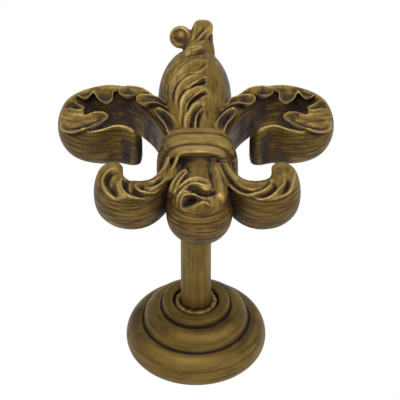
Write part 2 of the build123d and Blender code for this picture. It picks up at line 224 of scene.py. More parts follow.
# Leaves at the curled end of the central petal, in space
TIP_PADDLE = (
    ((-5.5, 75, 31.5), (-3, 83, 35), (-2, 88, 37.5), (0, 91.2, 38.5), (4, 92, 38.5)),
    ((2, 74, 31.5), (6, 81, 35), (9, 86, 37), (8.3, 90.2, 38.3), (4, 92, 38.5)),
)
TIP_FINGER = (
    ((-7, 67, 33.5), (-4, 71.5, 36), (-0.5, 73.5, 36.5), (2.5, 73, 36), (3.5, 70.5, 36)),
    ((-5, 64, 34.5), (-2, 66.5, 36), (1, 67.5, 36.5), (3.5, 70.5, 36)),
)
TIP_BACK = (
    ((4, 73, 29), (5.5, 81, 31), (7, 85.5, 33), (8.3, 86.5, 34)),
    ((9.5, 69, 27), (10, 76, 29.5), (9.2, 81, 32), (8.3, 86.5, 34)),
)

# Stations of the neck under those leaves, and of the dimpled scroll with its place, tilt and turn
TIP_NECK = ((70, 7.7, 25), (76, 8.5, 26), (82, 7.9, 27.8), (87, 5.6, 29.5), (90, 2, 30.5))
TIP_NECK_SHIFT = 1.5
KNOB_PLACE = (-7.8, 85.2, 32.3)
KNOB_TILT = math.radians(-38.0)
KNOB_YAW = math.radians(-14.0)
KNOB = (
    (-3.8, 0.05, 0),
    (-3.7, 1.2, 0),
    (-3.2, 2.2, 0),
    (-3.0, 3.0, 0),
    (-3.2, 3.8, 0),
    (-3.6, 4.6, 0),
    (-3.2, 5.4, 0),
    (-1.8, 5.9, 0),
    (1.5, 5.6, 0),
    (4.2, 4, 0),
    (5.2, 0.5, 0),
)

# The collar: how far it stands off the middle, its arch, how hollow it is and how square,
# then its ridges as start, end, swell and how much narrower the arch is
BAND_SHIFT = (0.8, 0.0, 0.0)
BAND_HALF_WIDTH = 18.0
BAND_SPRING = 9.0
BAND_RISE = 19.3
BAND_INSIDE = 0.6
BAND_SQUARENESS = 2 / 3.2
BAND_RIDGES = ((-8.5, -1.6, 2.7, 2.0), (-1.6, 7.5, 3.6, 0.0), (7.5, 12.2, 2.6, 0.8))

# Strokes of the carver's tools: a path, the half width of the cut and how far it stands up, or goes in.
# A path in plan lies on the face of the casting below it, a path in space runs where it says
DOME_STROKES = (
    (((-18, 42), (-18, 50), (-16.3, 57.5), (-13, 61), (-9, 63.3), (-6, 64)), 0.8, -1.3),
    (((-16.5, 45.5), (-16.5, 51.5), (-14.5, 57), (-11.5, 59), (-8, 61), (-5.5, 61.5)), 1.8, 1.2),
    (((-15, 40), (-14.5, 44.5), (-12.5, 49), (-9.5, 53.5), (-7, 56.5), (-4.5, 57.5)), 1.0, -2.6),
    (((-14, 39), (-13, 44.5), (-11, 48.5), (-7, 52.5), (-3, 56), (0.5, 58.5), (4, 59)), 1.9, 1.4),
    (((-1.5, 49), (2, 50), (4.5, 53), (6, 56.5)), 0.6, 0.9),
    (((-1, 50.5), (2.5, 53.5), (4.5, 57.5)), 0.8, -0.7),
    (((-12, 34), (-11.5, 39.5), (-9, 44), (-6, 46.5), (-2.5, 48), (2, 48.3)), 0.9, -1.8),
    (((-10.5, 32), (-10, 36.5), (-8, 41.5), (-4.5, 45), (-1, 46.5), (2.5, 47), (5, 46.5)), 1.6, 1.4),
    (((-3, 39.5), (0, 42.3), (3, 45), (5, 46.2)), 0.6, 0.9),
    (((-3, 38.5), (-1, 40), (2, 41.5), (4.5, 44)), 1.0, -3.2),
    (((-8.5, 26), (-9, 30), (-8, 34.5), (-5.5, 38), (-2.5, 38.5)), 0.8, -1.6),
    (((-8.5, 26.5), (-8, 31), (-6, 34), (-3, 37), (0, 39), (3.5, 39.2), (5, 38.5)), 1.5, 1.3),
    (((-7, 17), (-7, 23), (-6, 28), (-3.5, 32.3), (-1, 35)), 0.8, -1.3),
    (((-5, 26), (-4.5, 29.5), (-2.3, 32), (0.7, 34.6), (3.7, 37.3)), 0.6, 1.1),
    (((-4.6, 25), (-3.6, 28.3), (-1, 31.5), (2, 34.3), (5, 36.5)), 1.1, -3.4),
    (((-5, 13), (-5, 21), (-3.6, 24), (-1, 28), (1.5, 29.4), (4, 29.7)), 1.4, 1.3),
    (((4.5, 28.5), (2.8, 25), (0.7, 22), (0, 18), (0, 13)), 0.6, 1.6),
    (((-2.3, 13), (-1.8, 20.4), (-0.2, 24.2), (2.8, 27.4)), 1.0, -1.4),
    (((1.5, 14), (1.8, 21), (4, 25.2)), 0.9, -1.5),
)
TIP_STROKES = (
    (((-3, 76.5), (-1.5, 81.5), (-0.5, 85.5), (0.5, 89.5)), 1.0, 0.8),
    (((-3, 76.5), (-1, 77.5), (2, 81), (5, 83.5), (7.5, 86.5)), 0.8, 0.8),
    (((-1, 75.5), (1, 76.5), (3.5, 78), (6.5, 81.5), (8.5, 84.5)), 0.7, 0.7),
    (((5, 88), (3, 84.2), (1.5, 82), (-0.5, 78.7)), 1.0, -0.9),
    (((7.2, 84.2), (5.5, 82.3), (3.5, 80), (1, 78)), 0.8, -0.8),
    (((-6.5, 69.3), (-4.5, 69.3), (-1, 70), (2, 70)), 0.8, 0.5),
    (((-6.5, 62.8), (-2.5, 64.8), (1, 66), (4.4, 68.8)), 0.8, -1.2),
)
DROP_STROKES = (
    (((-13.5, -32), (-12.2, -28), (-9.7, -24.2), (-7, -20.6), (-4.8, -19.2)), 0.8, 0.8),
    (((-4.3, -21), (-6.4, -25), (-8.5, -29), (-10, -33), (-10.3, -36)), 0.8, 0.9),
    (((-5.2, -20.8), (-7.8, -24), (-10.3, -28), (-11.8, -32.5)), 0.8, -1.4),
    (
        ((7.7, -32), (3.4, -28.7), (-0.7, -27.9), (-3.5, -28.6), (-6, -30), (-8.5, -32), (-10.2, -34.5)),
        0.9,
        1.5,
    ),
    (((-8.5, -32), (-10.2, -34.3), (-11.5, -37), (-12, -39.5)), 0.7, 1.0),
    (
        ((7, -33), (3.4, -33.6), (0.5, -32.8), (-3, -32.8), (-5.2, -33.8), (-7.5, -35.7), (-9, -37.4)),
        0.8,
        1.4,
    ),
    (((-7.5, -35.7), (-9, -37.4), (-10, -39.5), (-10.2, -42.5)), 0.7, 1.0),
    (
        ((3.6, -31.3), (0.5, -30.5), (-3.5, -30.7), (-6.8, -32.7), (-9, -35.2), (-10.7, -38), (-11, -41)),
        0.7,
        -1.1,
    ),
    (((-3.2, -35), (-0.7, -36.3), (2.5, -37.6), (5.4, -38.3), (8, -37)), 1.7, -4.5),
    (((-0.3, -39.8), (-0.7, -37.6), (-2, -36.2), (-4, -35.6), (-6, -36.2)), 0.7, 1.1),
    (
        (
            (-0.8, -39.7), (-3.3, -38.8), (-5.6, -39), (-7.2, -40.3),
            (-7.9, -42.2), (-7.3, -44.5), (-5.5, -46),
        ),
        0.8,
        1.5,
    ),
    (((-2.2, -37.8), (-4.5, -37.2), (-6.6, -37.6), (-8.4, -39.4), (-9.1, -42), (-8.6, -45)), 0.6, -1.1),
    (((-5.6, -42.8), (-3.2, -42.1), (0.6, -41.8)), 2.4, -5.0),
    (((1, -44.8), (2.5, -43.6), (4.6, -43.4), (6.6, -44.3), (8.3, -44.7)), 0.9, 0.9),
    (((1.6, -42), (4, -41.8), (6.6, -42.2)), 1.5, -1.4),
    (((6, -13), (7, -20), (8, -28), (8.6, -34), (8.5, -38)), 0.8, -1.1),
    (((9.5, -14), (11, -22), (12.5, -31), (12.5, -37)), 1.6, 0.8),
    (((-4.5, -13), (-4.6, -16), (-3, -20)), 0.8, -1.2),
)
LOWER_LEFT_STROKES = (
    (
        (
            (-39.8, -15.8), (-42.3, -17.3), (-45, -21.4), (-46, -26.4),
            (-45.2, -31), (-43.5, -34.5), (-41, -37),
        ),
        0.8,
        1.2,
    ),
    (((-39.7, -18.2), (-42.6, -21), (-43.7, -26.2), (-42.3, -31.3), (-40.3, -36)), 1.5, -2.2),
    (((-40.7, -25.2), (-40.6, -31.5), (-39.3, -36.5)), 1.3, -1.6),
    (
        (
            (-34, -22.5), (-36.2, -23), (-37, -26.2), (-36.4, -31.3),
            (-34.8, -35), (-32.3, -37.5), (-25.4, -37.6),
        ),
        0.7,
        1.2,
    ),
    (((-29, -38.3), (-25.4, -37.6), (-21.7, -35.4)), 0.7, 0.9),
    (((-37, -24.5), (-38.7, -30), (-37.7, -33), (-35.7, -36.4), (-32.7, -38.3)), 1.2, 0.8),
    (((-33, -23), (-34.8, -27.6), (-33.7, -33), (-31.4, -35.6)), 1.4, -2.3),
    (((-31.2, -30.8), (-30, -34.7), (-27.4, -36.5), (-24.2, -36.6), (-21.8, -35.2)), 1.0, -2.6),
    (((-27.2, -26.6), (-29.4, -29), (-29.7, -31.7), (-28, -33.7), (-25.4, -34.6), (-22, -34.4)), 0.8, 1.2),
    (((-25.4, -34.6), (-22, -34.4), (-18.5, -31.8), (-16.2, -28.8)), 0.8, 1.2),
    (((-26.3, -29), (-25.8, -32), (-23, -32.5)), 1.1, -2.2),
    (((-23.4, -32.7), (-19.3, -30), (-16.5, -26.5), (-15.5, -24.5)), 0.8, 1.0),
    (((-24.3, -25.7), (-21, -25.5), (-18.5, -22.5)), 0.7, 0.9),
    (((-24.3, -29.3), (-21.6, -28.2), (-17.7, -24.4), (-15.5, -21)), 0.9, -1.3),
    (((-21.8, -33.3), (-18.6, -31), (-16.2, -27.5)), 0.8, -1.3),
)
LOWER_RIGHT_STROKES = (
    (
        ((11.2, -12), (12, -14.5), (14.3, -22), (17.2, -27.8), (21.3, -33), (25.7, -36), (30.2, -36)),
        1.1,
        1.8,
    ),
    (((25.7, -36), (30.2, -36), (34.4, -33.2), (37, -29), (37.8, -26)), 1.0, 1.5),
    (
        (
            (13.3, -12), (15.6, -21.3), (18.8, -28), (23.3, -32.8),
            (27.8, -34.2), (32.3, -32.6), (36.2, -27.4),
        ),
        1.2,
        -2.3,
    ),
    (((15, -12), (17, -15.5), (21.7, -23.4), (28, -28), (33.7, -27.2), (37, -25)), 1.6, 0.8),
    (
        (
            (28.6, -37.7), (32.7, -38.4), (37.6, -36.4), (41.8, -31.8),
            (44.4, -27.3), (44.5, -22.7), (43, -19.7),
        ),
        0.8,
        1.2,
    ),
    (((30.7, -37.5), (34.3, -37), (37.6, -34.4), (39.3, -30.6), (38.6, -27.7)), 1.1, -2.5),
    (((38, -24.3), (40.2, -21.5), (42, -24.3)), 1.8, 0.9),
    (((43, -35.8), (46.3, -33), (48, -28.4), (49, -22.7), (49.6, -18)), 0.8, 1.0),
    (((43, -34.8), (45, -31.8), (45.7, -27.6), (45.3, -23.4)), 1.1, -2.0),
)
HOOK_STROKES = (
    (((-68.5, 30), (-66, 28.5), (-61, 27), (-55.5, 28), (-52, 28.3)), 1.1, -1.4),
    (((-67.5, 22), (-62, 20), (-57, 21.5), (-52.5, 24), (-49.5, 25.5)), 1.4, -1.2),
    (((-67.5, 25), (-61, 23.5), (-54.5, 25.5), (-49, 27)), 1.3, 0.6),
    (((-66, 22.5), (-58, 16.3), (-48, 15.8), (-40, 17.5), (-35, 16.5)), 0.8, 0.6),
    (((-35, 16.4, 26.4), (-32.4, 15.6, 24), (-31.2, 15.2, 16), (-31.3, 15.4, 8), (-32, 16, 2)), 1.5, 1.1),
    (((-36.5, 15.8, 22), (-35.5, 15.4, 14), (-35.5, 15.6, 4)), 2.6, -1.3),
)

# Patches painted darker, partly wax left thick and partly painted shade, as at the hook ends that turn from
# the lamps, in the eye of the lower petal and under its wave; a negative strength lightens, as on the
# collar. Each is a path in space, its half width and strength; the first table on both hooks alike
WAX_AND_SHADE_PATCHES = (
    (((-30, 16, 22), (-29, 18, 15), (-29, 18, 8), (-29.5, 18, 1)), 3.2, 0.9),
    (((-38, 15.5, 4), (-33, 15.5, 4)), 3.5, 0.5),
    (((-36.5, 15.5, 21.5), (-34.5, 15.3, 19.5), (-34, 15.3, 10)), 2.2, 0.45),
    (((-66, 20, 8), (-58, 15, 6), (-46, 14, 5)), 5.0, 0.3),
)
CENTRE_WAX_AND_SHADE_PATCHES = (
    (((-10, 82, 31), (-6, 83, 34)), 4.5, 0.35),
    (((7, 76, 31), (9, 84, 32)), 2.5, 0.4),
    (((-6, -42.3, 23), (0.5, -41.5, 23)), 3.4, 1.2),
    (((-2, -36.5, 26), (3, -38, 25), (8, -38, 25)), 2.4, 0.7),
    (((-12, -5, 29.5), (0, -5, 30.5), (13, -5, 29.5)), 1.8, -0.6),
    (((-12, 3, 31), (0, 3, 32), (13, 3, 31)), 2.2, -0.4),
)

# Turned rosette: radii of its hole, ring, middle and outer mouldings and foot, then their heights
ROSETTE_RADII = (12.3, 17.9, 27.7, 37.5, 32.3)
ROSETTE_HEIGHTS = (31.0, 26.8, 18.6, 6.5)
ROSETTE_HOLLOW = ((31.2, 0.0), (31.2, 4.0), (23.7, 14.6), (16.0, 22.8), (12.3, 22.8))
PINHOLE = (-0.0105, -0.0353, 0.0108)

# Rough bead round the foot of the post: radius, thickness, height over the wall and size of its lumps
BEAD_RADIUS = 9.6 * MM
BEAD_THICKNESS = 1.6 * MM
BEAD_HEIGHT = 29.2 * MM
BEAD_LUMPS = 0.2 * MM

# Where the brushing turns along the collar, in Y, and, in Z, where the post is painted darker round its
# foot and where painted shadow falls on it under the ornament
COLLAR_START = (-0.0135, -0.0115)
COLLAR_END = (0.0135, 0.0155)
POST_FOOT = (0.0285, 0.0345)
POST_SHADOW_UNDER_ORNAMENT = (0.098, 0.106)

# Lamps: name, place, power and width; then what they look at
LAMPS = (("key", (-0.2, -0.45, 1.55), 13.0, 0.7), ("fill", (0.9, -0.5, 0.9), 4.5, 0.9))
LAMP_AIM = (0.0, 0.0, 0.08)
WORLD_LIGHT = 0.55

# Camera of the photograph
CAMERA_PLACE = (0.002166, -1.105916, 1.013385)
CAMERA_TILT = math.radians(50.438)
CAMERA_LENS = 249.02
CAMERA_SENSOR = 36.0


class HoldbackSizes(PropertyGroup):
    """Sizes of the dressed pieces."""

    grain: FloatProperty(
        name="Carving grain",
        description="Size of the grid the casting is carved on",
        default=0.5 * MM,
        unit="LENGTH",
    )
    soften: IntProperty(
        name="Softening",
        description="Rounds of smoothing of the raw casting",
        default=2,
        min=0,
    )
    triangles: IntProperty(
        name="Carving triangles",
        description="Triangles kept in the finished casting",
        default=190000,
        min=1000,
    )
    rim: FloatProperty(
        name="Rim height",
        description="How far the rims of a lobe stand up",
        default=0.9 * MM,
        unit="LENGTH",
    )
    scoop: FloatProperty(
        name="Scoop depth",
        description="How deep the middle of a lobe is cut",
        default=2.2 * MM,
        unit="LENGTH",
    )
    lobe: FloatProperty(
        name="Lobe thickness",
        description="Thickness of a lobe at its keel",
        default=4.5 * MM,
        unit="LENGTH",
    )
    turns: IntProperty(
        name="Turning steps",
        description="Steps around the turned pieces",
        default=240,
        min=24,
    )


class HoldbackColours(PropertyGroup):
    """Colours of the antique gold finish and of the hidden hardware."""

    gold: FloatVectorProperty(
        name="Gold",
        description="Body of the rubbed gold",
        subtype="COLOR",
        size=3,
        default=(0.215, 0.136, 0.027),
    )
    brown: FloatVectorProperty(
        name="Brown gold",
        description="Gold where the brush left it thin",
        subtype="COLOR",
        size=3,
        default=(0.058, 0.029, 0.008),
    )
    rubbed: FloatVectorProperty(
        name="Rubbed gold",
        description="Worn, bright ridges",
        subtype="COLOR",
        size=3,
        default=(0.40, 0.275, 0.09),
    )
    haze: FloatVectorProperty(
        name="Haze",
        description="Dull film in the scooped lobes",
        subtype="COLOR",
        size=3,
        default=(0.066, 0.045, 0.038),
    )
    # Also the colour of the painted shade in closed-in places
    wax: FloatVectorProperty(
        name="Dark wax",
        description="Brown wax in the recesses",
        subtype="COLOR",
        size=3,
        default=(0.014, 0.007, 0.005),
    )
    steel: FloatVectorProperty(
        name="Steel",
        description="Zinc plated steel of the rod and nut",
        subtype="COLOR",
        size=3,
        default=(0.5, 0.5, 0.5),
    )
    floor: FloatVectorProperty(
        name="Floor",
        description="Pale floor",
        subtype="COLOR",
        size=3,
        default=(0.8, 0.8, 0.8),
    )


class Socket:
    """A shader output that can be used in plain arithmetic."""

    def __init__(self, paint, output):
        self.paint = paint
        self.output = output

    def maths(self, operation, first, second):
        return self.paint.node("ShaderNodeMath", {"operation": operation}, {0: first, 1: second})

    def __add__(self, other):
        return self.maths("ADD", self, other)

    def __radd__(self, other):
        return self.maths("ADD", other, self)

    def __sub__(self, other):
        return self.maths("SUBTRACT", self, other)

    def __rsub__(self, other):
        return self.maths("SUBTRACT", other, self)

    def __mul__(self, other):
        return self.maths("MULTIPLY", self, other)

    def __rmul__(self, other):
        return self.maths("MULTIPLY", other, self)

    def step(self, low, high):
        """0 below low, 1 above high, with a soft change between."""
        settings = {"interpolation_type": "SMOOTHSTEP"}
        return self.paint.node("ShaderNodeMapRange", settings, {0: self, 1: low, 2: high})


class Paint:
    """A material and its shader nodes."""

    def __init__(self, name):
        self.material = bpy.data.materials.new(name)
        self.material.use_nodes = True
        self.tree = self.material.node_tree
        self.tree.nodes.clear()
        self.end = self.tree.nodes.new("ShaderNodeOutputMaterial")
        self.surface = self.tree.nodes.new("ShaderNodeBsdfPrincipled")
        self.tree.links.new(self.surface.outputs[0], self.end.inputs[0])

    def node(self, kind, settings, inputs, output=0):
        """Any shader node, with its settings and inputs, as the chosen output."""
        made = self.tree.nodes.new(kind)
        for key, value in settings.items():
            setattr(made, key, value)
        self.feed(made, inputs)
        return Socket(self, made.outputs[output])

    def feed(self, made, inputs):
        for key, value in inputs.items():
            if isinstance(value, Socket):
                self.tree.links.new(value.output, made.inputs[key])
            else:
                made.inputs[key].default_value = value

    def set(self, **inputs):
        self.feed(self.surface, {key.replace("_", " "): value for key, value in inputs.items()})

    def mix(self, factor, first, second):
        """A blend of two colours."""
        inputs = {0: factor, 6: colour(first), 7: colour(second)}
        return self.node("ShaderNodeMix", {"data_type": "RGBA"}, inputs, 2)

    def attribute(self, name):
        return self.node("ShaderNodeAttribute", {"attribute_name": name}, {}, "Fac")

    def place(self):
        """The three object coordinates, in metres."""
        spot = self.node("ShaderNodeTexCoord", {}, {}, "Object")
        return [self.node("ShaderNodeSeparateXYZ", {}, {0: spot}, axis) for axis in range(3)]

    def vector(self, x, y, z):
        return self.node("ShaderNodeCombineXYZ", {}, {0: x, 1: y, 2: z})

    def noise(self, spot, scale, detail=2.0, roughness=0.5):
        inputs = {"Vector": spot, "Scale": scale, "Detail": detail, "Roughness": roughness}
        return self.node("ShaderNodeTexNoise", {}, inputs, "Fac")

    def bump(self, height, distance):
        inputs = {"Height": height, "Distance": distance, "Strength": 1.0}
        return self.node("ShaderNodeBump", {}, inputs)


def colour(value):
    """A colour socket, or a colour with its alpha."""
    return value if isinstance(value, Socket) else (*value, 1.0)


def sizes():
    return bpy.context.scene.holdback_sizes


def colours():
    return bpy.context.scene.holdback_colours


def paint_on(piece, paint):
    piece.data.materials.clear()
    piece.data.materials.append(paint.material)


def only(piece):
    """Makes piece the only selected, active object."""
    bpy.ops.object.select_all(action="DESELECT")
    piece.select_set(True)
    bpy.context.view_layer.objects.active = piece


def apply_modifier(piece, name, kind, **settings):
    only(piece)
    made = piece.modifiers.new(name, kind)
    for key, value in settings.items():
        setattr(made, key, value)
    bpy.ops.object.modifier_apply(modifier=made.name)


def read(mesh, field):
    values = np.empty(len(mesh.vertices) * 3)
    mesh.vertices.foreach_get(field, values)
    return values.reshape(-1, 3)


def write(mesh, points):
    mesh.vertices.foreach_set("co", points.ravel())
    mesh.update()


def edges_of(mesh):
    edges = np.empty(len(mesh.edges) * 2, dtype=np.int32)
    mesh.edges.foreach_get("vertices", edges)
    return edges.reshape(-1, 2)


def relaxed(values, edges, rounds):
    """Values (one row a vertex) averaged with their neighbours, again and again."""
    total = len(values)
    one, two = edges[:, 0], edges[:, 1]
    share = np.maximum(np.bincount(edges.ravel(), minlength=total), 1)
    columns = []
    for column in values.T:
        for _ in range(rounds):
            near = np.bincount(one, column[two], total) + np.bincount(two, column[one], total)
            column = 0.5 * column + 0.5 * near / share
        columns.append(column)
    return np.stack(columns, axis=1)


def store(mesh, name, values):
    """Keeps one number for each vertex under a name the materials can read."""
    made = mesh.attributes.new(name, "FLOAT", "POINT")
    made.data.foreach_set("value", values.astype(np.float32))


def store_hollows(mesh):
    """Keeps how far each point lies below its surroundings, in millimetres: close by and further round."""
    points, normals, edges = read(mesh, "co"), read(mesh, "normal"), edges_of(mesh)
    for name, rounds in (("hollow_near", 6), ("hollow_far", 60)):
        depth = ((relaxed(points, edges, rounds) - points) * normals).sum(axis=1) / MM
        store(mesh, name, relaxed(depth[:, None], edges, 2)[:, 0])
    store(mesh, "level", np.abs(relaxed(normals, edges, 8)[:, 2]))


def store_openness(mesh, cell, directions=72):
    """Keeps the share of the sky over the wall that each point can see."""
    points, normals = read(mesh, "co"), read(mesh, "normal")
    seen = np.zeros(len(points))
    total = np.zeros(len(points))
    for k in range(directions):
        height = (k + 0.5) / directions
        turn = k * math.pi * (3.0 - math.sqrt(5.0))
        flat = math.sqrt(1.0 - height * height)
        towards = np.array((flat * math.cos(turn), flat * math.sin(turn), height))
        side = np.cross(towards, UP if height < 0.9 else (1.0, 0.0, 0.0))
        side /= np.linalg.norm(side)
        over = np.cross(towards, side)
        grid = np.stack((points @ side, points @ over), axis=1) / cell
        grid = np.floor(grid - grid.min(axis=0)).astype(np.int64)
        key = grid[:, 0] * (grid[:, 1].max() + 1) + grid[:, 1]
        depth = points @ towards
        nearest = np.full(key.max() + 1, -1.0)
        np.maximum.at(nearest, key, depth)
        facing = np.maximum(normals @ towards, 0.0)
        slope = np.sqrt(1.0 - np.minimum(facing, 1.0) ** 2) / np.maximum(facing, 0.2)
        seen += facing * (depth > nearest[key] - cell * (1.5 + slope))
        total += facing
    store(mesh, "openness", relaxed((seen / np.maximum(total, 1.0))[:, None], edges_of(mesh), 3)[:, 0])


def finish(piece, node=None):
    """Shades a finished piece smooth and parents it to the root body, hiding the CAD node it stands in for.
    """
    only(piece)
    bpy.ops.object.shade_smooth_by_angle(angle=math.radians(50))
    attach(piece, "root")
    if node:
        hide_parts(node)


def curve(points, shares, even=False):
    """Points at shares of the way along a smooth curve through the given ones."""
    points = np.asarray(points, dtype=float)
    gaps = np.ones(len(points) - 1) if even else np.linalg.norm(np.diff(points, axis=0), axis=1)
    marks = np.concatenate(([0.0], np.cumsum(gaps))) / gaps.sum()
    slopes = np.gradient(points, marks, axis=0, edge_order=min(2, len(points) - 1))
    k = np.clip(np.searchsorted(marks, shares, side="right") - 1, 0, len(points) - 2)
    gap = (marks[k + 1] - marks[k])[:, None]
    t = (shares - marks[k])[:, None] / gap
    start = (2 * t**3 - 3 * t**2 + 1) * points[k] + (t**3 - 2 * t**2 + t) * gap * slopes[k]
    return start + (3 * t**2 - 2 * t**3) * points[k + 1] + (t**3 - t**2) * gap * slopes[k + 1]


def bezier(corners, steps):
    """Points at even steps along a Bezier curve, without its end."""
    t = (np.arange(steps) / steps)[:, None]
    a, b, c, d = corners
    return (1 - t) ** 3 * a + 3 * t * (1 - t) ** 2 * b + 3 * t**2 * (1 - t) * c + t**3 * d


def leaf_section(edge, rim, wall, fall):
    """One upright ring of a leaf: bulging outer wall, crowned face falling inwards, hollow inner wall."""
    face, draw = edge[2], rim[2]
    width = np.hypot(*(rim - edge)[:2])
    across = np.array((*(rim - edge)[:2], 0.0)) / width
    foot = max(draw + 3.0, min(wall, width))

    def at(n, z):
        return np.array((edge[0], edge[1], z)) + across * n

    foot_out, foot_in = at(draw * 1.1, 0.0), at(foot, 0.0)
    edge_out, edge_in = at(0.6, face - 1.5), at(width, face - fall)
    outer_wall = bezier((foot_out, at(-0.5 * draw, 0.2 * face), at(-1.8, 0.75 * face), edge_out), 14)
    crown = bezier((edge_out, at(0.2 * width, face + 1.2), at(0.7 * width, face + 3.1 - fall), edge_in), 10)
    hollow = at(0.8 * foot + 0.2 * width, 0.7 * face)
    inner_wall = bezier((edge_in, hollow, at(foot, 0.3 * face), foot_in), 12)
    return np.concatenate((outer_wall, crown, inner_wall, [foot_in]))


def leaf(stations, wall, fall):
    """Rings of a scrolled leaf, rounded off at its curled end."""
    shares = np.linspace(0.0, 1.0, 160)
    outer = curve([(*s[0], s[2]) for s in stations], shares, even=True)
    inner = curve([(*s[1], s[3]) for s in stations], shares, even=True)
    for edge in (outer, inner):
        for _ in range(12):
            edge[1:-1] = 0.25 * edge[:-2] + 0.5 * edge[1:-1] + 0.25 * edge[2:]
    rings = [leaf_section(a, b, wall, fall) for a, b in zip(outer, inner)]
    last = rings[-1]
    ahead = outer[-1] - outer[-2]
    ahead = np.array((ahead[0], ahead[1], 0.0)) / np.hypot(ahead[0], ahead[1])
    for share, reach in LEAF_END:
        rings.append(last.mean(axis=0) + (last - last.mean(axis=0)) * share + ahead * reach)
    return np.array(rings)


def bulb(stations, shift=0.0, steps=90):
    """Rings of a round petal."""
    turn = np.linspace(0.0, 2.0 * math.pi, 72, endpoint=False)
    y, r, z = curve(stations, np.linspace(0.0, 1.0, steps)).T[:, :, None]
    return np.stack((shift + r * np.cos(turn), y + 0.0 * turn, z + r * np.sin(turn)), axis=2)


def on_face(low, high):
    """Rims that climb from one height to another over the first part of a lobe."""

    def rest(rim, shares):
        height = low + (high - low) * np.minimum(1.0, shares / 0.4)
        return np.column_stack((rim, height)), UP

    return rest


def on_bulb(stations, shift):
    """Rims that lie on a round petal, and the way up out of it."""
    y, r, z = curve(stations, np.linspace(0.0, 1.0, 90)).T
    order = np.argsort(y)

    def rest(rim, shares):
        radius = np.interp(rim[:, 1], y[order], r[order])
        side = np.clip((rim[:, 0] - shift) / radius, -0.97, 0.97)
        up = np.column_stack((side, 0.0 * side, np.sqrt(1.0 - side**2)))
        middle = np.column_stack((0.0 * side + shift, rim[:, 1], np.interp(rim[:, 1], y[order], z[order])))
        return middle + up * radius[:, None], up

    return rest


def free(rim, shares):
    """Rims given in space."""
    return rim, UP


def tongue(left, right, rest, scoop=None, thickness=None):
    """Rings of one acanthus lobe between its rims: raised edges and a scooped middle, or a swollen one."""
    size = sizes()
    lift = size.rim / MM
    scoop = size.scoop / MM if scoop is None else scoop
    thickness = size.lobe / MM if thickness is None else thickness
    shares = 1.0 - (1.0 - np.linspace(0.0, 0.95, 80)) ** 1.8
    round_tip = [*left, *right[-2::-1]]
    lengths = np.linalg.norm(np.diff(np.array(round_tip, dtype=float), axis=0), axis=1)
    tip = lengths[: len(left) - 1].sum() / lengths.sum()
    sides = curve(round_tip, tip * shares), curve(round_tip, 1.0 - (1.0 - tip) * shares)
    (a, up_a), (b, up_b) = [rest(rim, shares) for rim in sides]
    up = up_a + up_b
    up = np.broadcast_to(up / np.linalg.norm(up, axis=-1, keepdims=True), a.shape)
    span = b - a
    width = np.linalg.norm(span, axis=1)[:, None]
    keel = np.minimum(thickness, 0.3 + 0.8 * width)
    top = 0.5 - 0.5 * np.cos(np.linspace(0.04, 0.96, 31) * math.pi)
    under = np.array((1.0, 0.86, 0.68, 0.5, 0.32, 0.14, 0.0))
    inwards = np.minimum(top, 1.0 - top) * width
    if scoop > 0.0:
        grown = np.clip((shares - 0.05) / 0.35, 0.0, 1.0)[:, None]
        to_tip = np.linalg.norm(0.5 * (a + b) - 0.5 * (a + b)[-1], axis=1)[:, None]
        basin = np.clip((inwards - 0.5) / np.maximum(0.4 * width - 0.5, 0.3), 0.0, 1.0)
        depth = np.minimum(scoop * grown, np.minimum(0.35 * width, 0.4 * to_tip))
        rise = lift * grown * np.exp(-(((inwards - 0.4) / 0.55) ** 2)) - depth * basin * (2.0 - basin)
        keel = np.minimum(keel, depth + 0.8 + np.minimum(0.35 * to_tip, 2.0))
    else:
        rise = np.minimum(-scoop, 0.4 * width) * (4.0 * top * (1.0 - top)) ** 0.6
    drop = -keel * np.array((0.15, 0.55, 0.9, 1.0, 0.9, 0.55, 0.15))
    parts = np.concatenate((top, under))
    heights = np.concatenate((rise, drop), axis=1)
    return a[:, None] + span[:, None] * parts[:, None] + up[:, None] * heights[:, :, None]


def band():
    """Rings of the collar: three rounded ridges over a flat-topped arch, straight down both sides."""
    rings = []
    for turn in (None, *np.linspace(0.0, 180.0, 97), None):
        at_foot = turn is None
        angle = math.radians((0.0 if not rings else 180.0) if at_foot else turn)
        c, s = math.cos(angle), max(math.sin(angle), 0.0)
        reach = math.copysign(abs(c) ** BAND_SQUARENESS, c)
        climb = s**BAND_SQUARENESS if s > 0.001 else 0.0
        lean = math.copysign(abs(c) ** (2 - BAND_SQUARENESS), c)
        away = np.array((lean * BAND_RISE, 0.0, climb * BAND_HALF_WIDTH))
        away /= np.linalg.norm(away)
        top = 0.0 if at_foot else BAND_SPRING + BAND_RISE * climb
        ring = []
        for start, end, swell, inset in BAND_RIDGES:
            for t in np.arange(12) / 12:
                y = start + (end - start) * t * t * (3 - 2 * t)
                spot = np.array((reach * (BAND_HALF_WIDTH - inset), y, top))
                ring.append(spot + away * (3 * swell * t * (1 - t)))
        for y in (BAND_RIDGES[-1][1], BAND_RIDGES[0][0]):
            ring.append(np.array((reach * BAND_HALF_WIDTH * BAND_INSIDE, y, top * BAND_INSIDE)))
        rings.append(ring)
    return np.array(rings) + BAND_SHIFT


def scroll_knob():
    """Rings of the dimpled scroll at the curled end."""
    c, s = math.cos(KNOB_TILT), math.sin(KNOB_TILT)
    about_x = np.array(((1, 0, 0), (0, c, -s), (0, s, c)))
    c, s = math.cos(KNOB_YAW), math.sin(KNOB_YAW)
    about_z = np.array(((c, -s, 0), (s, c, 0), (0, 0, 1)))
    return bulb(KNOB, steps=60) @ (about_z @ about_x).T + KNOB_PLACE


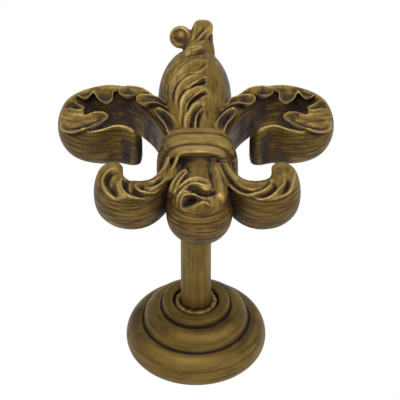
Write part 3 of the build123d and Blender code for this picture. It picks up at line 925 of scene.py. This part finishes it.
def casting_masses():
    """Rings of every mass of the ornament, in drawn millimetres."""
    upper = [leaf(UPPER_LEAF, *UPPER_BUILD), *[tongue(a, b, on_face(*z)) for a, b, z in UPPER_LOBES]]
    upper.append(tongue(*UPPER_WEB, free, scoop=-0.4, thickness=5.0))
    lower = [leaf(LOWER_LEAF, *LOWER_BUILD), tongue(*STRAND, free, scoop=-1.5, thickness=9.0)]
    across = np.array((-1.0, 1.0, 1.0))
    return [
        bulb(DOME, DOME_SHIFT),
        bulb(DROP, DROP_SHIFT),
        band(),
        *upper,
        *lower,
        *[rings * across for rings in upper],
        *[rings * across + LOWER_SHIFT for rings in lower],
        tongue(*DROP_RIB, on_bulb(DROP, DROP_SHIFT), scoop=-2.6),
        tongue(*DROP_BLADE, free, scoop=-1.0, thickness=9.0),
        *[tongue(*edges, free, scoop=-1.2, thickness=3.0) for edges in COLLAR_STRANDS],
        scroll_knob(),
        bulb(TIP_NECK, TIP_NECK_SHIFT),
        tongue(*TIP_PADDLE, free, scoop=-1.2, thickness=7.0),
        tongue(*TIP_FINGER, free, scoop=-1.4),
        tongue(*TIP_BACK, free, scoop=-1.5),
    ]


def skinned(name, masses):
    """A new piece whose mesh closes over the rings of each mass."""
    points, faces = [], []
    for rings in masses:
        start = sum(len(p) for p in points)
        count, around = rings.shape[:2]
        place = start + np.arange(count * around).reshape(count, around)
        after = np.roll(place, -1, axis=1)
        faces += np.stack((place[:-1], after[:-1], after[1:], place[1:]), axis=2).reshape(-1, 4).tolist()
        faces += [place[0][::-1].tolist(), place[-1].tolist()]
        points.append(rings.reshape(-1, 3))
    points = np.concatenate(points) * DRAWN_SCALE + (0.0, 0.0, ORNAMENT_BACK)
    mesh = bpy.data.meshes.new(name)
    mesh.from_pydata((points * MM).tolist(), [], faces)
    piece = bpy.data.objects.new(name, mesh)
    bpy.context.scene.collection.objects.link(piece)
    only(piece)
    bpy.ops.object.mode_set(mode="EDIT")
    bpy.ops.mesh.select_all(action="SELECT")
    bpy.ops.mesh.normals_make_consistent(inside=False)
    bpy.ops.object.mode_set(mode="OBJECT")
    return piece


def stroke(points, normals, path, width, height):
    """How far each point of the casting moves along its normal under one stroke, in drawn millimetres."""
    shares = np.linspace(0.0, 1.0, 90)
    spots = curve(path, shares)
    margin = 2.6 * width
    low, high = spots.min(axis=0) - margin, spots.max(axis=0) + margin
    flat = spots.shape[1]
    near = ((points[:, :flat] > low) & (points[:, :flat] < high)).all(axis=1)
    near &= (normals[:, 2] > 0.05) | (flat == 3)
    near = np.flatnonzero(near)
    gap = np.linalg.norm(points[near, None, :flat] - spots, axis=2)
    if flat == 2:
        lying = np.where(gap < 1.0, points[near, 2][:, None], -1.0).max(axis=0)
        gap = np.hypot(gap, points[near, 2][:, None] - lying)
    nearest = gap.argmin(axis=1)
    taper = np.sin(math.pi * np.clip(shares, 0.04, 0.96))[nearest] ** 0.4
    moved = np.zeros(len(points))
    moved[near] = height * taper * np.exp(-((gap.min(axis=1) / width) ** 2.5))
    return moved


def mirrored(strokes):
    """The strokes of the left side, and their images on the right."""
    images = [([(-p[0], *p[1:]) for p in path], width, height) for path, width, height in strokes]
    return [*strokes, *images]


def stroked(mesh, strokes):
    """How far the strokes move each point of the casting, in drawn millimetres, and the normals there."""
    normals = relaxed(read(mesh, "normal"), edges_of(mesh), 4)
    normals /= np.linalg.norm(normals, axis=1, keepdims=True)
    points = (read(mesh, "co") / MM - (0.0, 0.0, ORNAMENT_BACK)) / DRAWN_SCALE
    return sum(stroke(points, normals, *each) for each in strokes), normals


def carve(mesh):
    """Works the strokes into the face of the casting."""
    middle = (*DOME_STROKES, *TIP_STROKES, *DROP_STROKES)
    lower = (*LOWER_LEFT_STROKES, *LOWER_RIGHT_STROKES)
    moved, normals = stroked(mesh, (*middle, *lower, *mirrored(HOOK_STROKES)))
    write(mesh, read(mesh, "co") + normals * (moved * DRAWN_SCALE * MM)[:, None])


def gold_paint(name, strokes_of, wax_shade_and_wear_of):
    """Rubbed gold over dark wax, with painted shade laid in the same way as the wax. The two functions give
    the brushing, and how much wax and painted shade and how much wear a place gets.
    """
    tint = colours()
    paint = Paint(name)
    x, y, z = paint.place()
    strokes = strokes_of(paint, x, y, z)
    spot = paint.vector(x, y, z)
    cloud = paint.noise(spot, 90.0, 4.0, 0.6)
    wax_and_shade_mask, worn = wax_shade_and_wear_of(paint, strokes, cloud)
    thick = strokes * 0.8 + cloud * 0.2 - 0.2 * wax_and_shade_mask.step(0.0, 0.8)
    body = paint.mix(thick.step(0.36, 0.62), tint.brown, tint.gold)
    rubbed = paint.mix(worn.step(0.2, 1.0), body, tint.rubbed)
    # The haze and the dark wax colour go where there is wax and painted shade alike, so they also paint
    # shade
    hazy = paint.mix(wax_and_shade_mask.step(0.2, 0.7) * 0.75, rubbed, tint.haze)
    grain = paint.noise(spot, 1100.0, 2.0)
    paint.set(
        Base_Color=paint.mix(wax_and_shade_mask.step(0.5, 1.35), hazy, tint.wax),
        Metallic=0.5,
        Specular_IOR_Level=0.25,
        Roughness=0.5 + 0.2 * wax_and_shade_mask.step(0.2, 1.0) - 0.12 * worn.step(0.2, 1.0),
        Normal=paint.bump(strokes * 0.6 + grain * 0.2, 0.15 * MM),
    )
    return paint


def casting_strokes(paint, x, y, z):
    """Brush strokes that run level along the walls, lengthways over the face and along the collar."""
    walls = paint.noise(paint.vector(x * 70.0, y * 70.0, z * 1100.0), 1.0, 4.0, 0.65)
    face = paint.noise(paint.vector(x * 600.0, y * 130.0, z * 130.0), 1.0, 4.0, 0.65)
    collar = paint.noise(paint.vector(x * 70.0, y * 800.0, z * 300.0), 1.0, 4.0, 0.65)
    banded = y.step(*COLLAR_START) * (1.0 - y.step(*COLLAR_END))
    side = paint.node("ShaderNodeMath", {"operation": "ABSOLUTE"}, {0: x})
    along = paint.noise(paint.vector(x * 110.0, y * 600.0, z * 130.0), 1.0, 4.0, 0.65)
    face = face + side.step(0.05, 0.058) * (1.0 - y.step(0.034, 0.042)) * (along - face)
    face = 0.56 + (face + banded * (collar - face) - 0.5) * 0.6
    # Painted shade: the upright walls are kept a little darker than the face
    walls = walls - 0.05
    return walls + paint.attribute("level").step(0.45, 0.75) * (face - walls)


def casting_wax_shade_and_wear(paint, strokes, cloud):
    """Wax where the casting is hollow, painted shade where it is closed in from the sky, wear where it
    stands proud.
    """
    near, far = paint.attribute("hollow_near"), paint.attribute("hollow_far")
    closed_in_shade = 1.0 - paint.attribute("openness")
    ragged = (strokes - 0.5) * 1.2 + (cloud - 0.5) * 1.0
    # Painted shade: where a point sees little sky it is darkened, mottled by the cloud, and kept from wear
    wax_and_shade_mask = near * 4.2 + far * 1.2 + closed_in_shade * (1.12 - (cloud - 0.5) * 4.0) - ragged * 0.45 - 0.25
    worn = ragged * 0.8 - near * 3.2 - far * 0.5 - closed_in_shade * 0.5 + 0.15
    return wax_and_shade_mask, worn


def ornament_wax_shade_and_wear(paint, strokes, cloud):
    """Wax, painted shade and wear of the casting, with the patches of wax and painted shade."""
    wax_and_shade_mask, worn = casting_wax_shade_and_wear(paint, strokes, cloud)
    # Patches of thick wax and of painted shade darken the casting
    wax_and_shade_patch = paint.attribute("wax_and_shade_patch")
    return wax_and_shade_mask + wax_and_shade_patch, worn - wax_and_shade_patch


def turned_strokes(paint, x, y, z):
    """Brush strokes running round the axis."""
    flat = paint.vector(x, y, 0.0)
    radius = paint.node("ShaderNodeVectorMath", {"operation": "LENGTH"}, {0: flat}, "Value")
    noise = paint.noise(paint.vector(x * 45.0, y * 45.0, radius * 500.0 + z * 700.0), 1.0, 3.0, 0.6)
    return 0.52 + (noise - 0.5) * 0.55


def post_strokes(paint, x, y, z):
    """Brush strokes running along the post."""
    noise = paint.noise(paint.vector(x * 900.0, y * 900.0, z * 25.0), 1.0, 3.0, 0.6)
    return 0.55 + (noise - 0.5) * 0.5


def rosette_wax_shade_and_wear(paint, strokes, cloud):
    """Wax in the steps of the rosette and broadly round them, painted shade where it is closed in, and a
    dark dot at the pinhole of its edge.
    """
    wax_and_shade_mask, worn = casting_wax_shade_and_wear(paint, strokes, cloud)
    spot = paint.vector(*paint.place())
    away = paint.node("ShaderNodeVectorMath", {"operation": "DISTANCE"}, {0: spot, 1: PINHOLE}, "Value")
    broad = paint.attribute("hollow_far").step(-0.3, 0.8)
    return wax_and_shade_mask * 0.75 + 0.6 * broad + 3.0 - 3.0 * away.step(0.25 * MM, 0.5 * MM), worn - 0.5


def bead_wax_shade_and_wear(paint, strokes, cloud):
    """Wax, painted shade and wear of the rough bead, dark all over."""
    wax_and_shade_mask, worn = casting_wax_shade_and_wear(paint, strokes, cloud)
    return wax_and_shade_mask + 0.42, worn - 0.5


def post_wax_shade_and_wear(paint, strokes, cloud):
    """Wear of the post, darker round its foot, with painted shadow under the ornament."""
    wax_and_shade_mask, worn = plain_wear(paint, strokes, cloud)
    height = paint.place()[2]
    # Painted shadow under the ornament at the head of the post, and a darker foot
    darker_foot_and_shadow = 1.0 - height.step(*POST_FOOT) * (1.0 - height.step(*POST_SHADOW_UNDER_ORNAMENT))
    return wax_and_shade_mask + 0.7 * darker_foot_and_shadow, worn - 0.5 * darker_foot_and_shadow


def plain_wear(paint, strokes, cloud):
    """Wax and wear of a smooth surface, by the brushing alone."""
    ragged = (strokes - 0.5) * 1.2 + (cloud - 0.5) * 0.6
    return 0.0 - ragged * 0.8, ragged * 0.8 + 0.2


def quarter_round(start, end, steps):
    """Points of a moulding that leaves its start level and comes down upright at its end."""
    turn = np.linspace(0.0, 0.5 * math.pi, steps)
    (r0, z0), (r1, z1) = start, end
    return np.column_stack((r0 + (r1 - r0) * np.sin(turn), z1 + (z0 - z1) * np.cos(turn)))


def rosette_outline():
    """Radius and height along the rosette: out of its hole, over the mouldings, back through its hollow."""
    hole, ring, step, edge, foot = ROSETTE_RADII
    top, crest, shoulder, belly = ROSETTE_HEIGHTS
    corners = np.concatenate(
        (
            [(hole, crest - 4.0), (hole, top)],
            quarter_round((ring - 1.2, top), (ring, top - 1.2), 5),
            [(ring, crest + 0.6), (ring + 0.3, crest - 0.1)],
            quarter_round((ring + 1.3, crest), (step, shoulder), 24),
            [(step + 0.2, shoulder - 1.3)],
            quarter_round((step + 1.3, shoulder - 1.2), (edge, belly), 28),
            quarter_round((foot, 0.0), (edge, belly), 12)[::-1],
        )
    )
    marks = np.concatenate(([0.0], np.cumsum(np.linalg.norm(np.diff(corners, axis=0), axis=1))))
    places = np.linspace(0.0, marks[-1], int(marks[-1] / 0.45))
    outside = np.column_stack([np.interp(places, marks, corners[:, k]) for k in range(2)])
    for _ in range(2):
        outside[1:-1] = 0.25 * outside[:-2] + 0.5 * outside[1:-1] + 0.25 * outside[2:]
    return np.concatenate((outside, ROSETTE_HOLLOW))


def spun(name, outline, steps):
    """A new piece turned about Z from a closed outline of radius and height."""
    mesh = bpy.data.meshes.new(name)
    count = len(outline)
    corners = [(r * MM, 0.0, z * MM) for r, z in outline]
    mesh.from_pydata(corners, [(k, (k + 1) % count) for k in range(count)], [])
    piece = bpy.data.objects.new(name, mesh)
    bpy.context.scene.collection.objects.link(piece)
    only(piece)
    bpy.ops.object.mode_set(mode="EDIT")
    bpy.ops.mesh.select_all(action="SELECT")
    bpy.ops.mesh.spin(steps=steps, angle=2.0 * math.pi, center=(0.0, 0.0, 0.0), axis=(0.0, 0.0, 1.0))
    bpy.ops.mesh.select_all(action="SELECT")
    bpy.ops.mesh.remove_doubles(threshold=0.001 * MM)
    bpy.ops.mesh.normals_make_consistent(inside=False)
    bpy.ops.object.mode_set(mode="OBJECT")
    return piece


class HOLDBACK_OT_ornament(Operator):
    """Carve the cast fleur-de-lis and paint it"""

    bl_idname = "holdback.ornament"
    bl_label = "Fleur-de-lis"

    def execute(self, context):
        piece = skinned("fleur_carving", casting_masses())
        size = sizes()
        apply_modifier(piece, "Grid", "REMESH", mode="VOXEL", voxel_size=size.grain, adaptivity=0.0)
        write(piece.data, relaxed(read(piece.data, "co"), edges_of(piece.data), size.soften))
        carve(piece.data)
        apply_modifier(piece, "Even grid", "REMESH", mode="VOXEL", voxel_size=size.grain, adaptivity=0.0)
        mesh = piece.data
        points = relaxed(read(mesh, "co"), edges_of(mesh), 1)
        low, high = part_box("fleur_de_lis")
        write(mesh, np.clip(points, low, high))
        store_hollows(mesh)
        store_openness(mesh, 2.0 * size.grain)
        # Patches of wax and painted shade along the given paths, kept for the paint
        store(mesh, "wax_and_shade_patch", stroked(mesh, (*mirrored(WAX_AND_SHADE_PATCHES), *CENTRE_WAX_AND_SHADE_PATCHES))[0])
        kept = min(1.0, size.triangles / (2.0 * len(mesh.polygons)))
        apply_modifier(piece, "Thin", "DECIMATE", ratio=kept)
        paint_on(piece, gold_paint("ornament gold", casting_strokes, ornament_wax_shade_and_wear))
        finish(piece, "fleur_de_lis")
        return {"FINISHED"}


class HOLDBACK_OT_rosette(Operator):
    """Turn the rosette and paint it"""

    bl_idname = "holdback.rosette"
    bl_label = "Rosette"

    def execute(self, context):
        size = sizes()
        piece = spun("turned_rosette", rosette_outline(), size.turns)
        store_hollows(piece.data)
        store_openness(piece.data, 2.0 * size.grain)
        paint_on(piece, gold_paint("rosette gold", turned_strokes, rosette_wax_shade_and_wear))
        finish(piece, "base_rosette")
        return {"FINISHED"}


class HOLDBACK_OT_post(Operator):
    """Paint the post and set the lumpy bead of casting round its foot"""

    bl_idname = "holdback.post"
    bl_label = "Post"

    def execute(self, context):
        paint_on(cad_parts["post"], gold_paint("post gold", post_strokes, post_wax_shade_and_wear))
        bpy.ops.object.select_all(action="DESELECT")
        bpy.ops.mesh.primitive_torus_add(
            location=(0.0, 0.0, 0.0),
            major_radius=BEAD_RADIUS,
            minor_radius=BEAD_THICKNESS,
            major_segments=240,
            minor_segments=20,
        )
        bead = context.active_object
        bead.name = "foot_bead"
        points, normals = read(bead.data, "co"), read(bead.data, "normal")
        turn = np.arctan2(points[:, 1], points[:, 0])
        lumps = np.sin(9.0 * turn + 2.0 * np.sin(3.0 * turn))
        lumps += 0.7 * np.sin(17.0 * turn + 3.0 * np.sin(2.0 * turn))
        write(bead.data, points + normals * (BEAD_LUMPS * lumps)[:, None] + (0.0, 0.0, BEAD_HEIGHT))
        store_hollows(bead.data)
        store_openness(bead.data, 2.0 * sizes().grain)
        paint_on(bead, gold_paint("bead gold", casting_strokes, bead_wax_shade_and_wear))
        finish(bead)
        return {"FINISHED"}


class HOLDBACK_OT_hardware(Operator):
    """Paint the wall plate and the hidden rod, nut and washer"""

    bl_idname = "holdback.hardware"
    bl_label = "Hardware"

    def execute(self, context):
        paint_on(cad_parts["wall_plate"], gold_paint("plate gold", turned_strokes, plain_wear))
        steel = Paint("zinc steel")
        spot = steel.vector(*steel.place())
        steel.set(
            Base_Color=colour(colours().steel),
            Metallic=1.0,
            Roughness=0.3 + 0.2 * steel.noise(spot, 400.0),
        )
        for name in ("tie_rod", "tie_nut", "tie_washer"):
            paint_on(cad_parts[name], steel)
        return {"FINISHED"}


class HOLDBACK_OT_stage(Operator):
    """Set the floor, the lights and the camera of the photograph"""

    bl_idname = "holdback.stage"
    bl_label = "Stage"

    def execute(self, context):
        scene = context.scene
        bpy.ops.object.select_all(action="DESELECT")
        bpy.ops.mesh.primitive_plane_add(size=6.0, location=(0.0, 0.0, -0.0005))
        floor = context.active_object
        floor.name = "floor"
        paint = Paint("pale floor")
        paint.set(Base_Color=colour(colours().floor), Roughness=0.9)
        ways = ("Is Camera Ray", "Is Glossy Ray", "Is Transmission Ray")
        seen = sum(paint.node("ShaderNodeLightPath", {}, {}, way) for way in ways)
        white = paint.node("ShaderNodeEmission", {}, {"Color": (1.0, 1.0, 1.0, 1.0), "Strength": 1.0})
        matt = Socket(paint, paint.surface.outputs[0])
        both = paint.node("ShaderNodeMixShader", {}, {0: seen, 1: matt, 2: white})
        paint.tree.links.new(both.output, paint.end.inputs[0])
        paint_on(floor, paint)

        world = bpy.data.worlds.new("studio")
        scene.world = world
        world.use_nodes = True
        sky = world.node_tree.nodes["Background"]
        sky.inputs[0].default_value = (1.0, 1.0, 1.0, 1.0)
        sky.inputs[1].default_value = WORLD_LIGHT

        for name, spot, power, width in LAMPS:
            bpy.ops.object.light_add(type="AREA", location=spot)
            lamp = context.active_object
            lamp.name = name
            lamp.data.energy = power
            lamp.data.size = width
            aim = np.array(LAMP_AIM) - np.array(spot)
            lamp.rotation_euler = (
                math.atan2(math.hypot(aim[0], aim[1]), -aim[2]),
                0.0,
                math.atan2(-aim[0], aim[1]),
            )

        bpy.ops.object.camera_add(location=CAMERA_PLACE, rotation=(CAMERA_TILT, 0.0, 0.0))
        camera = context.active_object
        camera.name = "photo camera"
        camera.data.sensor_width = CAMERA_SENSOR
        camera.data.lens = CAMERA_LENS
        scene.camera = camera
        scene.view_settings.view_transform = "Standard"
        return {"FINISHED"}


STEPS = (
    HOLDBACK_OT_ornament,
    HOLDBACK_OT_rosette,
    HOLDBACK_OT_post,
    HOLDBACK_OT_hardware,
    HOLDBACK_OT_stage,
)


class VIEW3D_PT_holdback(Panel):
    """The pieces and their settings"""

    bl_label = "Curtain Holdback"
    bl_space_type = "VIEW_3D"
    bl_region_type = "UI"
    bl_category = "Holdback"

    def draw(self, context):
        for group in (context.scene.holdback_sizes, context.scene.holdback_colours):
            for name in type(group).__annotations__:
                self.layout.prop(group, name)
        for kind in STEPS:
            self.layout.operator(kind.bl_idname)


CLASSES = (HoldbackSizes, HoldbackColours, *STEPS, VIEW3D_PT_holdback)


def register():
    for kind in CLASSES:
        bpy.utils.register_class(kind)
    bpy.types.Scene.holdback_sizes = PointerProperty(type=HoldbackSizes)
    bpy.types.Scene.holdback_colours = PointerProperty(type=HoldbackColours)


def unregister():
    del bpy.types.Scene.holdback_colours
    del bpy.types.Scene.holdback_sizes
    for kind in reversed(CLASSES):
        bpy.utils.unregister_class(kind)


def main():
    register()
    bpy.ops.holdback.ornament()
    bpy.ops.holdback.rosette()
    bpy.ops.holdback.post()
    bpy.ops.holdback.hardware()
    bpy.ops.holdback.stage()


if __name__ == "__main__":
    main()
